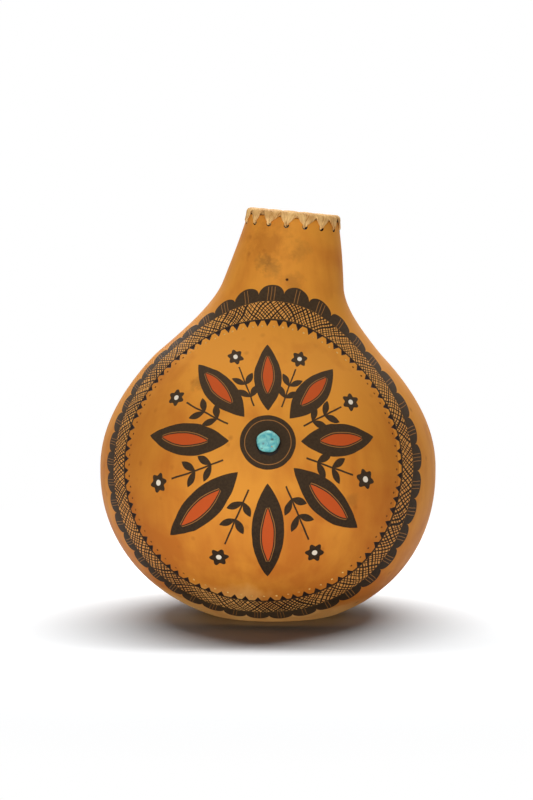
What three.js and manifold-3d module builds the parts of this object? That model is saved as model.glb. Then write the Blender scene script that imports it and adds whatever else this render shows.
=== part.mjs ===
// Laced gourd bowl: a dried bottle gourd, cut open across its leaning neck, with a laced rim and a set stone.
// Millimetres, +Z up. The origin is under the belly on the standing plane, and the stone faces -Y.

import * as THREE from "three";
import { mergeVertices } from "three/addons/utils/BufferGeometryUtils.js";
import Module from "manifold-3d";

// Gourd shell: a full bowl below, a dome above, and a neck cone whose lean eases towards its top
const BELLY_RADIUS = 105;
const BELLY_HEIGHT = 91.5;
const BASE_RADIUS = 39.5;
const BASE_OFFSET = 3.4;
const BOWL_FULLNESS = 2.15;
const DOME_REACH = 124;
const DOME_FULLNESS = 0.856;
const SHOULDER_BLEND = 20.9;
const RIM_HEIGHT = 248.3;
const RIM_RADIUS = 28.3;
const RIM_TILT = THREE.MathUtils.degToRad(5.3);
const RIM_PITCH = THREE.MathUtils.degToRad(4);
const NECK_TAPER = 0.223;
const NECK_LEAN = 20.3;
const LEAN_START = 160.7;
const LEAN_EASE = 0.03;
const LEAN_RETURN = 0.225;
const WALL = 5;

// Rim binding: a core rod on the cut edge, and two passes of flat lace that share every drilled hole
const HOLE_COUNT = 16;
const HOLE_DEPTH = 4.8;
const FIRST_HOLE = THREE.MathUtils.degToRad(-97.7);
const CORE_DIAMETER = 2;
const LACE_WIDTH = 5.6;
const LACE_THICKNESS = 0.6;
const LACE_STRAND = 1.8;
const LACE_FLARE = 6;
const LACE_BEND = 1.3;
const LACE_GAP = 0.45;
const LACE_END = 4;

// Stone and its bed of pitch
const STONE_HEIGHT = 120;
const STONE_WIDTH = 14.8;
const STONE_BACK_INSET = 1;
const STONE_GIRDLE = 1.6;
const STONE_DOME = 3.2;
const DOME_ROUNDING = 0.8;
const STONE_CORNERS = 5;
const STONE_LOBE = 0.26;
const BED_FLOOR = 0.7;
const BED_MARGIN = 1;
const BED_RISE = 1.6;

// Clearance between seated pieces, and how finely round forms are faceted
const SEAT = 0.3;
const SHELL_SIDES = 48;
const LOWER_RINGS = 9;
const UPPER_RINGS = 17;
const HOLLOW_LOWER_RINGS = 7;
const HOLLOW_UPPER_RINGS = 12;
const HOLE_SIDES = 12;
const CORE_SIDES = 8;
const LACE_STEPS = 20;
const STONE_SIDES = 20;
const DOME_RINGS = 4;

const FRONT = -Math.PI / 2;
const TURN = 2 * Math.PI;
const wasm = await Module();
wasm.setup();

// Share of the neck's lean and tilt that has been reached at a height
function neckShare(height) {
  return Math.max(0, (height - LEAN_START) / (RIM_HEIGHT - LEAN_START));
}

function axisOffset(height) {
  const share = neckShare(height);
  const drop = Math.max(0, 1 - height / BELLY_HEIGHT);
  const lean = share * share * (1 + LEAN_EASE) / (share + LEAN_EASE) - LEAN_RETURN * share ** 3;
  return NECK_LEAN * lean + BASE_OFFSET * drop * drop;
}

function outerRadius(height) {
  if (height <= BELLY_HEIGHT) {
    const drop = 1 - height / BELLY_HEIGHT;
    const undercut = 1 - (BASE_RADIUS / BELLY_RADIUS) ** 2;
    return BELLY_RADIUS * Math.sqrt(1 - undercut * drop ** BOWL_FULLNESS);
  }
  const rise = Math.min(1, (height - BELLY_HEIGHT) / DOME_REACH);
  const dome = BELLY_RADIUS * Math.cos(rise * Math.PI / 2) ** DOME_FULLNESS;
  const neck = RIM_RADIUS + NECK_TAPER * (RIM_HEIGHT - height);
  const blend = Math.max(0, 1 - Math.abs(dome - neck) / SHOULDER_BLEND);
  return Math.max(dome, neck) + SHOULDER_BLEND * blend * blend / 4;
}

function outerSlope(height) {
  const step = 0.01;
  return (outerRadius(height + step) - outerRadius(height)) / step;
}

// Radius of the surface that lies a given depth inside the skin, measured square to the skin
function skinRadius(height, depth) {
  return outerRadius(height) - depth * Math.hypot(1, outerSlope(height));
}

// Point of the gourd at a height and an angle about its axis, a given depth inside the skin
function gourdPoint(height, angle, depth) {
  const share = neckShare(height);
  const turned = share * share * (3 - 2 * share);
  const tilt = RIM_TILT * turned;
  const pitch = RIM_PITCH * turned;
  const radius = skinRadius(height, depth);
  const along = radius * Math.cos(angle);
  const behind = radius * Math.sin(angle);
  return new THREE.Vector3(
    axisOffset(height) + along * Math.cos(tilt),
    behind * Math.cos(pitch),
    height - along * Math.sin(tilt) - behind * Math.sin(pitch),
  );
}

// Closed skin over a row of equal rings, with a point at each end
function skinOver(startPoint, rings, endPoint) {
  const sides = rings[0].length;
  const points = [startPoint, ...rings.flat(), endPoint];
  const last = points.length - 1;
  const faces = [];
  for (let side = 0; side < sides; side++) {
    const next = (side + 1) % sides;
    faces.push(0, 1 + next, 1 + side);
    for (let ring = 0; ring < rings.length - 1; ring++) {
      const low = 1 + ring * sides;
      const high = low + sides;
      faces.push(low + side, low + next, high + next);
      faces.push(low + side, high + next, high + side);
    }
    const top = last - sides;
    faces.push(top + side, top + next, last);
  }
  const geometry = new THREE.BufferGeometry().setFromPoints(points);
  geometry.setIndex(faces);
  return geometry;
}

function middleOf(ring) {
  const sum = ring.reduce((total, point) => total.add(point), new THREE.Vector3());
  return sum.divideScalar(ring.length);
}

function toSolid(geometry) {
  const bare = geometry.clone();
  bare.deleteAttribute("normal");
  bare.deleteAttribute("uv");
  const merged = mergeVertices(bare, 1e-5);
  return new wasm.Manifold(new wasm.Mesh({
    numProp: 3,
    vertProperties: Float32Array.from(merged.attributes.position.array),
    triVerts: Uint32Array.from(merged.index.array),
  }));
}

function toGeometry(solid) {
  const mesh = solid.getMesh();
  const geometry = new THREE.BufferGeometry();
  geometry.setAttribute("position", new THREE.BufferAttribute(mesh.vertProperties, 3));
  geometry.setIndex(new THREE.BufferAttribute(mesh.triVerts, 1));
  return geometry;
}

// Heights of the rings from a floor to the rim, closer together where the bowl turns under
function ringHeights(floor, lowerRings, upperRings) {
  const heights = [];
  for (let step = 0; step < lowerRings; step++) {
    const turn = 1 - Math.cos(step / lowerRings * Math.PI / 2);
    heights.push(floor + (BELLY_HEIGHT - floor) * turn);
  }
  for (let step = 0; step <= upperRings; step++) {
    heights.push(BELLY_HEIGHT + (RIM_HEIGHT - BELLY_HEIGHT) * step / upperRings);
  }
  return heights;
}

function gourdRing(height, depth) {
  const ring = [];
  for (let side = 0; side < SHELL_SIDES; side++) {
    ring.push(gourdPoint(height, side / SHELL_SIDES * TURN, depth));
  }
  return ring;
}

// Gourd shell: up the skin, over the cut edge and down the hollow, then drilled for the lace
const strandOffset = (LACE_STRAND + LACE_GAP) / 2;
const holeRadius = (strandOffset + LACE_STRAND / 2 + SEAT) / Math.cos(Math.PI / HOLE_SIDES);
const holeHeight = RIM_HEIGHT - HOLE_DEPTH;
const skinHeights = ringHeights(0, LOWER_RINGS, UPPER_RINGS);
const hollowHeights = ringHeights(WALL, HOLLOW_LOWER_RINGS, HOLLOW_UPPER_RINGS);

function holeAngle(hole) {
  return FIRST_HOLE + hole / HOLE_COUNT * TURN;
}

function lacingHole(hole) {
  const angle = holeAngle(hole);
  const outside = gourdPoint(holeHeight, angle, -WALL);
  const inside = gourdPoint(holeHeight, angle, 2 * WALL);
  const bore = outside.clone().sub(inside);
  const drill = new THREE.CylinderGeometry(holeRadius, holeRadius, bore.length(), HOLE_SIDES);
  const aim = new THREE.Quaternion().setFromUnitVectors(new THREE.Vector3(0, 1, 0), bore.normalize());
  drill.applyQuaternion(aim);
  drill.translate(...outside.add(inside).divideScalar(2).toArray());
  return drill;
}

function gourdShell() {
  const skin = skinHeights.map((height) => gourdRing(height, 0));
  const hollow = hollowHeights.map((height) => gourdRing(height, WALL)).reverse();
  const underside = middleOf(skin[0]);
  const floor = middleOf(hollow[hollow.length - 1]);
  let shell = toSolid(skinOver(underside, [...skin, ...hollow], floor));
  for (let hole = 0; hole < HOLE_COUNT; hole++) {
    shell = shell.subtract(toSolid(lacingHole(hole)));
  }
  return toGeometry(shell);
}

// Core rod: a ring of round section that lies along the middle of the cut edge
const rimMiddleRadius = skinRadius(RIM_HEIGHT, WALL / 2);
const rimUp = new THREE.Vector3(Math.tan(RIM_TILT), Math.tan(RIM_PITCH), 1).normalize();

function rimCore() {
  const coreHeight = SEAT + CORE_DIAMETER / 2;
  const section = new THREE.Path().absarc(rimMiddleRadius, coreHeight, CORE_DIAMETER / 2, 0, TURN);
  const profile = section.getPoints(CORE_SIDES / 2);
  profile[profile.length - 1].copy(profile[0]);
  return new THREE.LatheGeometry(profile, SHELL_SIDES).rotateX(Math.PI / 2);
}

// Lace: the track of one stitch, across the wall and above the cut edge, from one hole to the next
function stitchTrack(lift) {
  const mouth = WALL / 2 + SEAT + LACE_STRAND / 2;
  const edge = WALL / 2 + SEAT + LACE_THICKNESS / 2 + lift;
  const crown = SEAT + CORE_DIAMETER + SEAT + LACE_THICKNESS / 2 + lift;
  const bendTop = LACE_BEND - HOLE_DEPTH;
  const track = new THREE.Path();
  track.moveTo(-mouth, bendTop);
  track.quadraticCurveTo(-mouth, -HOLE_DEPTH, LACE_BEND - mouth, -HOLE_DEPTH);
  track.lineTo(mouth - LACE_BEND, -HOLE_DEPTH);
  track.quadraticCurveTo(mouth, -HOLE_DEPTH, mouth, bendTop);
  track.lineTo(edge, 0);
  track.absellipse(0, 0, edge, crown, 0, Math.PI);
  track.lineTo(-mouth, bendTop);
  return track;
}

// Point beside the wall: across it from its middle, above the cut edge, and at an angle about the neck
function rimPoint(across, above, angle) {
  const depth = WALL / 2 - across;
  const point = gourdPoint(Math.min(RIM_HEIGHT, RIM_HEIGHT + above), angle, depth);
  return point.addScaledVector(rimUp, Math.max(0, above));
}

// Six corners of the lace's section, in half widths and half thicknesses
const LACE_SECTION = [[1, 0], [0.5, -1], [-0.5, -1], [-1, 0], [-0.5, 1], [0.5, 1]];

// One ring of the lace at a distance along its winding; way is 1 or -1 for the side to which it leans
function laceRing(track, loop, share, way) {
  const [, , holeLength] = track.getCurveLengths();
  const whole = track.getLength();
  const travelled = share * whole;
  const pitch = TURN * rimMiddleRadius / HOLE_COUNT;
  const place = track.getPointAt(share);
  const heading = track.getTangentAt(share);
  const inHole = travelled < holeLength;
  const twist = Math.PI * travelled / holeLength;
  const stitch = (travelled - holeLength) / (whole - holeLength);
  const along = inHole ? -strandOffset * Math.cos(twist) : strandOffset + stitch * (pitch - 2 * strandOffset);
  const raised = inHole ? way * strandOffset * Math.sin(twist) : 0;
  const fromHole = inHole ? 0 : Math.min(travelled - holeLength, whole - travelled);
  const spread = THREE.MathUtils.smoothstep(fromHole, 0, LACE_FLARE);
  const halfWidth = THREE.MathUtils.lerp(LACE_STRAND, LACE_WIDTH, spread) / 2;
  const halfThickness = THREE.MathUtils.lerp(LACE_STRAND, LACE_THICKNESS, spread) / 2;
  return LACE_SECTION.map(([wide, thick]) => {
    const across = place.x + heading.y * thick * halfThickness;
    const above = place.y + raised - heading.x * thick * halfThickness;
    const angle = holeAngle(way * loop) + (way * along + wide * halfWidth) / rimMiddleRadius;
    return rimPoint(across, above, angle);
  });
}

// Least distance between points of the lace that lie at least half a stitch apart along it
function leastGap(rings) {
  let least = Infinity;
  for (let one = 0; one < rings.length; one++) {
    for (let two = one + LACE_STEPS / 2; two < rings.length; two++) {
      for (const point of rings[one]) {
        least = Math.min(least, ...rings[two].map((other) => point.distanceTo(other)));
      }
    }
  }
  return least;
}

function rimLace(name, lift, way) {
  const track = stitchTrack(lift);
  const rings = [];
  for (let step = 0; step < HOLE_COUNT * LACE_STEPS; step++) {
    const loop = Math.floor(step / LACE_STEPS);
    const share = (step % LACE_STEPS) / LACE_STEPS;
    const toEnd = (HOLE_COUNT - loop - share) * track.getLength();
    if (toEnd > LACE_END) {
      rings.push(laceRing(track, loop, share, way));
    }
  }
  console.log(`${name}: least gap to itself ${leastGap(rings).toFixed(2)} mm`);
  return skinOver(middleOf(rings[0]), rings, middleOf(rings[rings.length - 1]));
}

// Stone: a rounded nugget with a flat back, low girdle and domed top, in rings from back to top
function stoneRing(share, height, margin) {
  const ring = [];
  for (let side = 0; side < STONE_SIDES; side++) {
    const angle = side / STONE_SIDES * TURN;
    const outline = STONE_WIDTH / 2 + STONE_LOBE * Math.cos(STONE_CORNERS * angle + 1);
    const radius = share * outline + margin;
    ring.push(new THREE.Vector3(radius * Math.cos(angle), radius * Math.sin(angle), height));
  }
  return ring;
}

function stoneBody(grow) {
  const back = SEAT + BED_FLOOR + SEAT;
  const girdle = back + STONE_GIRDLE;
  const dome = STONE_DOME + grow;
  const rings = [stoneRing(1, back - grow, grow - STONE_BACK_INSET)];
  for (let ring = 0; ring < DOME_RINGS; ring++) {
    const angle = ring / DOME_RINGS * Math.PI / 2;
    const share = Math.cos(angle) ** DOME_ROUNDING;
    rings.push(stoneRing(share, girdle + dome * Math.sin(angle), grow));
  }
  const top = new THREE.Vector3(0, 0, girdle + dome);
  return skinOver(middleOf(rings[0]), rings, top);
}

// Bed of pitch: a pad round the stone's foot, hollowed by the stone and following the gourd's skin behind
function stoneBed(fromGourd) {
  const top = SEAT + BED_FLOOR + BED_RISE;
  const rings = [
    stoneRing(1, -WALL, BED_MARGIN),
    stoneRing(1, top - BED_RISE / 2, BED_MARGIN),
    stoneRing(1, top, BED_MARGIN / 2),
  ];
  const pad = toSolid(skinOver(middleOf(rings[0]), rings, middleOf(rings[2])));
  const skin = skinHeights.map((height) => gourdRing(height, -SEAT));
  const body = skinOver(middleOf(skin[0]), skin, middleOf(skin[skin.length - 1]));
  const gourd = toSolid(body.applyMatrix4(fromGourd));
  return toGeometry(pad.subtract(gourd).subtract(toSolid(stoneBody(SEAT))));
}

function finish(color, roughness) {
  return new THREE.MeshStandardMaterial({ color, roughness, metalness: 0 });
}

function piece(name, geometry, material) {
  const mesh = new THREE.Mesh(geometry, material);
  mesh.name = name;
  return mesh;
}

const gourdSkin = finish("#c07a2e", 0.45);
const fibre = finish("#b58a4e", 0.85);
const lace = finish("#cf9d5a", 0.75);
const pitch = finish("#1c1611", 0.5);
const turquoise = finish("#75b2af", 0.35);

const bowl = new THREE.Group();
bowl.add(piece("gourd_shell", gourdShell(), gourdSkin));

const rim = new THREE.Group();
rim.position.set(axisOffset(RIM_HEIGHT), 0, RIM_HEIGHT);
rim.quaternion.setFromUnitVectors(new THREE.Vector3(0, 0, 1), rimUp);
rim.add(piece("rim_core", rimCore(), fibre));
bowl.add(rim);

const secondLift = LACE_THICKNESS + LACE_GAP;
bowl.add(piece("rim_lace_first", rimLace("rim_lace_first", 0, 1), lace));
bowl.add(piece("rim_lace_second", rimLace("rim_lace_second", secondLift, -1), lace));

// The setting stands square to the skin at the stone's height on the front
const setting = new THREE.Group();
const outward = new THREE.Vector3(0, -1, -outerSlope(STONE_HEIGHT)).normalize();
setting.position.copy(gourdPoint(STONE_HEIGHT, FRONT, 0));
setting.quaternion.setFromUnitVectors(new THREE.Vector3(0, 0, 1), outward);
setting.updateMatrix();
setting.add(piece("stone_bed", stoneBed(setting.matrix.clone().invert()), pitch));
setting.add(piece("turquoise_stone", stoneBody(0), turquoise));
bowl.add(setting);

export default bowl;
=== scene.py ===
# Laced gourd bowl: a dried bottle gourd with a carved and painted front, a rim bound with plant fibre
# and one turquoise nugget set in pitch. Lengths are in millimetres until a mesh is made.

import math
import random
from functools import partial

import bpy
import numpy as np
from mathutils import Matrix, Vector
from mathutils.bvhtree import BVHTree


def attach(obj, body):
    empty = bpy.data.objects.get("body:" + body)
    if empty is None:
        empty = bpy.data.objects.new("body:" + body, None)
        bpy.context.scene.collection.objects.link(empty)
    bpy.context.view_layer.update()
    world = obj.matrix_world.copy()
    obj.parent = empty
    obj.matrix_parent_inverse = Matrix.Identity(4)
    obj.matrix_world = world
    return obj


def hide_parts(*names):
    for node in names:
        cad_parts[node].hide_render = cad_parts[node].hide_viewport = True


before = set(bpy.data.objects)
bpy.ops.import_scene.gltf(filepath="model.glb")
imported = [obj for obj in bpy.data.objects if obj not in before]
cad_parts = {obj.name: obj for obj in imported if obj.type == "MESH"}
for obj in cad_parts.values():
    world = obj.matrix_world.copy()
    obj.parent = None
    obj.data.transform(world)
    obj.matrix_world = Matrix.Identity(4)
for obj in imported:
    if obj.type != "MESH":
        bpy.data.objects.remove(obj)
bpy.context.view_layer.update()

MM = 0.001
TURN = 2 * math.pi
FRONT = -math.pi / 2

# Gourd shell: a full bowl below, a dome above, and a neck cone whose lean eases towards its top
BELLY_RADIUS = 105
BELLY_HEIGHT = 91.5
BASE_RADIUS = 39.5
BASE_OFFSET = 3.4
BOWL_FULLNESS = 2.15
DOME_REACH = 124
DOME_FULLNESS = 0.856
SHOULDER_BLEND = 20.9
RIM_HEIGHT = 248.3
RIM_RADIUS = 28.3
RIM_TILT = math.radians(5.3)
RIM_PITCH = math.radians(4)
NECK_TAPER = 0.223
NECK_LEAN = 20.3
LEAN_START = 160.7
LEAN_EASE = 0.03
LEAN_RETURN = 0.225
WALL = 5
EDGE_ROUNDING = 0.7
BASE_ROUNDING = 5
SKIN_STEP = 2.3
HOLLOW_STEP = 5
SHELL_SIDES = 288
SKIN_SWELL = 0.8
LUMP_DEPTH = 0.2
LUMP_SIZE = 55
LUMP_FADE = 30

# Rim binding: a twisted fibre bundle on the cut edge, and two passes of flat lace through shared holes
HOLE_COUNT = 16
HOLE_DEPTH = 4.8
HOLE_RADIUS = 1.7
FIRST_HOLE = math.radians(-97.7)
BUNDLE_SINK = 0.2
BUNDLE_WIDTH = 5.2
BUNDLE_HEIGHT = 3
BUNDLE_STRANDS = 9
STRAND_RADIUS = 0.6
BUNDLE_TWISTS = 16
BUNDLE_POINTS = 300
STRAND_SIDES = 6
LACE_OVERLAP = 0.35
LACE_THICKNESS = 1.1
LACE_STRAND = 1.2
STRAND_THICKNESS = 1
STRAND_FADE = 2
LACE_FLARE = 7
ARM_FLARE = 0.4
STEEP_ARM = (2, 3)
LEANING_ARM = (1.2, 1.5)
STEEP_SHARE = 0.8
LACE_SEAT = 0
LACE_CROWN = 3.05
CROWN_FULLNESS = 0.72
LACE_LIFT = 0.4
LACE_BEND = 1.3
LACE_GAP = 0.1
LACE_END = 4
LACE_STEPS = 44
LACE_ACROSS = 15
BEND_STEPS = 9
CROWN_STEPS = 49
HEADING_STEP = 0.2
LACE_FIBRES = 5
LACE_RIDGE = 0.24
OVERLAP_PLAY = (0.3, 2.4)
ARM_PLAY = (0.7, 1.4)

# Stone and its bed of pitch
STONE_HEIGHT = 120
STONE_RADIUS = 6.85
STONE_BACK = 1
STONE_GIRDLE = 1.7
STONE_DOME = 3.3
BED_FLOOR = 0.7
BED_MARGIN = 0.55
BED_RISE = 1.9

# Painted border: a round drawn with compasses from a point on the skin, in chord lengths from there
COMPASS_POINT = (-6.4, -102, 110.5)
RING_LINE = (95.7, 97)
RING_HATCH = 97
RING_SOLID = 109
RING_CUSP = 113.6
RING_LOBE = 119.2
RING_SWAYS = ((4, 1.1, math.radians(46)), (2, 1.1, math.radians(92)))
INNER_BULGE = 2.4
BULGE_POWER = 8
SCALLOPS = 42
SCALLOP_CROWDING = 0.142
CROWDING_FROM = math.radians(40)
SCALLOP_START = 0.27
SCALLOP_WIDTH = 14
SCALLOP_PLAY = 1.2
SCRATCH_STEP = 1.8
SCRATCH_WIDTH = 0.32
SCRATCH_SPAN = 2.2
HATCH_LINES = 220
HATCH_STEP = 2.3
HATCH_WIDTH = 0.9
HATCH_LEAN = 0.3
HATCH_STRAY = 3
HATCH_UNEVEN = 0.4
HATCH_CROWDING = 1.3
HATCH_SWELL = 0.5

# Chips carved along the border's inner line, with a punched dot between each two, painted as a highlight, and
# far to the sides as shade
TEETH = 76
TOOTH_WIDTH = 5
TOOTH_LENGTH = 5
TOOTH_DEPTH = 0.9
TOOTH_PLAY = 0.12
TOOTH_LAP = 0.8
DOT_RADIUS = 0.75
DOT_REACH = 91.6
SHADED_BEYOND = 50

# Rosette painted round the stone: petals, and buds on stems between them, by their share of the way
# from the stone to the edge of the field
STONE_SPOT = (-0.1, -99, 120.5)
FIELD_RADIUS = 91
PETALS = 8
PETAL_SPAN = (0.25, 0.84)
PETAL_HALF = 10
HEART_SPAN = (0.4, 0.73)
HEART_HALF = 3.6
STEM_SPAN = (0.3, 0.66)
STEM_HALF = 0.55
BUD_PLACE = 0.76
BUD_RADIUS = 5.2
BUD_LOBES = 6
BUD_LOBE = 0.9
BUD_EYE = 1.7
SPRIGS = (0.38, 0.49)
SPRIG_LENGTH = 11
SPRIG_HALF = 2.1
ROUNDEL_RADIUS = 17
ROUNDEL_LINE = 14
FINE_LINE = 0.45

# Soft edge of paint and scratches
PAINT_EDGE = (-0.12, 0.12)

# Table and room, in metres: half the table's side, its drop under the gourd, its colour where it is seen and
# where it throws light on, how far off it fades to white, the room's even light, and what the lamps face
TABLE_HALF = 8
TABLE_DROP = 0.0001
TABLE_SEEN = (0.385, 0.39, 0.395, 1)
TABLE_THROWN = (0.23, 0.23, 0.23, 1)
TABLE_FADE = (0.2, 0.5)
ROOM_LIGHT = 0.1
LAMP_AIM = (0, 0, 0.12)

# Camera, fitted to the photograph's view
CAMERA_ELEVATION = math.radians(6.8)
CAMERA_DISTANCE = 2800
CAMERA_TARGET = (-0.9, 0, 134.1)
CAMERA_LENS = 134.4
SENSOR_HEIGHT = 24


def linear(colour):
    """Linear red, green, blue and alpha of an sRGB hex colour."""
    shares = [int(colour[at:at + 2], 16) / 255 for at in (1, 3, 5)]
    return [s / 12.92 if s <= 0.04045 else ((s + 0.055) / 1.055) ** 2.4 for s in shares] + [1]


def node(tree, kind, *values, out=0, named=None, **settings):
    """Add a node with its settings and links, and give one output. A kind in capitals is a Math operation."""
    if kind.isupper():
        settings["operation"] = kind
        kind = "ShaderNodeMath"
    made = tree.nodes.new(kind)
    for name, value in settings.items():
        setattr(made, name, value)
    for key, value in [*enumerate(values), *(named or {}).items()]:
        if isinstance(value, bpy.types.NodeSocket):
            tree.links.new(value, made.inputs[key])
        else:
            made.inputs[key].default_value = value
    return made.outputs[out] if made.outputs else made


def add_object(name, data):
    made = bpy.data.objects.new(name, data)
    bpy.context.scene.collection.objects.link(made)
    return made


# The gourd's form, by the same rules as its solids

def neck_share(height):
    return max(0, (height - LEAN_START) / (RIM_HEIGHT - LEAN_START))


def axis_offset(height):
    share = neck_share(height)
    drop = max(0, 1 - height / BELLY_HEIGHT)
    lean = share * share * (1 + LEAN_EASE) / (share + LEAN_EASE) - LEAN_RETURN * share ** 3
    return NECK_LEAN * lean + BASE_OFFSET * drop * drop


def outer_radius(height):
    if height <= BELLY_HEIGHT:
        drop = 1 - height / BELLY_HEIGHT
        undercut = 1 - (BASE_RADIUS / BELLY_RADIUS) ** 2
        return BELLY_RADIUS * math.sqrt(1 - undercut * drop ** BOWL_FULLNESS)
    rise = min(1, (height - BELLY_HEIGHT) / DOME_REACH)
    dome = BELLY_RADIUS * math.cos(rise * math.pi / 2) ** DOME_FULLNESS
    neck = RIM_RADIUS + NECK_TAPER * (RIM_HEIGHT - height)
    blend = max(0, 1 - abs(dome - neck) / SHOULDER_BLEND)
    return max(dome, neck) + SHOULDER_BLEND * blend * blend / 4


def outer_slope(height):
    step = 0.01
    return (outer_radius(height + step) - outer_radius(height)) / step


def skin_radius(height, depth):
    return outer_radius(height) - depth * math.hypot(1, outer_slope(height))


def gourd_ring(height, radius):
    """Middle of a ring about the leaning neck, and its half axes to the right and to the back."""
    share = neck_share(height)
    turned = share * share * (3 - 2 * share)
    tilt = RIM_TILT * turned
    pitch = RIM_PITCH * turned
    middle = Vector((axis_offset(height), 0, height))
    right = Vector((radius * math.cos(tilt), 0, -radius * math.sin(tilt)))
    back = Vector((0, radius * math.cos(pitch), -radius * math.sin(pitch)))
    return middle, right, back


def gourd_point(height, angle, depth):
    middle, right, back = gourd_ring(height, skin_radius(height, depth))
    return middle + right * math.cos(angle) + back * math.sin(angle)


RIM_UP = Vector((math.tan(RIM_TILT), math.tan(RIM_PITCH), 1)).normalized()
RIM_MIDDLE = skin_radius(RIM_HEIGHT, WALL / 2)


def rim_point(across, above, angle):
    """Point beside the wall: across it from its middle, above the cut edge, at an angle about the neck."""
    point = gourd_point(min(RIM_HEIGHT, RIM_HEIGHT + above), angle, WALL / 2 - across)
    return point + RIM_UP * max(0, above)


# Materials

# Settings of a Mix node that mixes two colours, at its inputs 6 and 7
COLOURS = {"out": 2, "data_type": "RGBA"}


def new_material(name):
    """An empty node material, and the call that adds a node to it."""
    made = bpy.data.materials.new(name)
    made.use_nodes = True
    made.node_tree.nodes.clear()
    return made, partial(node, made.node_tree)


def give_surface(add, colour, roughness, height, depth, **sockets):
    """End a material in one shader, with its bump as deep as depth in millimetres."""
    bump = add("ShaderNodeBump", 1, depth * MM, named={"Height": height})
    named = {name.replace("_", " "): value for name, value in sockets.items()}
    named.update({"Base Color": colour, "Roughness": roughness, "Normal": bump})
    add("ShaderNodeOutputMaterial", add("ShaderNodeBsdfPrincipled", named=named))


def millimetres(add):
    """Place on a piece, in millimetres."""
    metres = add("ShaderNodeTexCoord", out="Object")
    return add("ShaderNodeVectorMath", metres, named={"Scale": 1 / MM}, operation="SCALE")


def seen_rays(add):
    """One for rays that reach the eye straight, by a reflection or through glass, and nought for the rest."""
    seen = 0
    for ray in ("Is Camera Ray", "Is Glossy Ray", "Is Transmission Ray"):
        seen = add("MAXIMUM", seen, add("ShaderNodeLightPath", out=ray))
    return seen


def between(add, value, low, high):
    """How far a value lies inside a band, below nought outside it."""
    return add("MINIMUM", add("SUBTRACT", value, low), add("SUBTRACT", high, value))


def off_whole(add, turns):
    """How far off the nearest whole turn a spot lies."""
    return add("ABSOLUTE", add("SUBTRACT", turns, add("ROUND", turns)))


def strokes(add, turns, step, width):
    """How far a spot lies inside the lines drawn at whole turns, a step apart and so wide."""
    return add("MULTIPLY_ADD", off_whole(add, turns), -step, width / 2)


def compass(add, spot, centre):
    """Chord length and angle of a spot from a centre on the gourd's front."""
    away = add("ShaderNodeVectorMath", spot, centre, operation="SUBTRACT")
    length = add("ShaderNodeVectorMath", away, operation="LENGTH", out="Value")
    right = add("ShaderNodeSeparateXYZ", away, out="X")
    up = add("ShaderNodeSeparateXYZ", away, out="Z")
    return length, add("ARCTAN2", up, right)


def leaf(add, way, across, span, half):
    """How far a spot lies inside a pointed leaf that runs over a span of the way."""
    share = add("ShaderNodeMapRange", way, *span)
    width = add("SINE", add("MULTIPLY", share, math.pi))
    inside = add("SUBTRACT", add("MULTIPLY", add("POWER", width, 0.85), half), across)
    return add("MINIMUM", inside, add("MULTIPLY", between(add, way, *span), 100 / (span[1] - span[0])))


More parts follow.
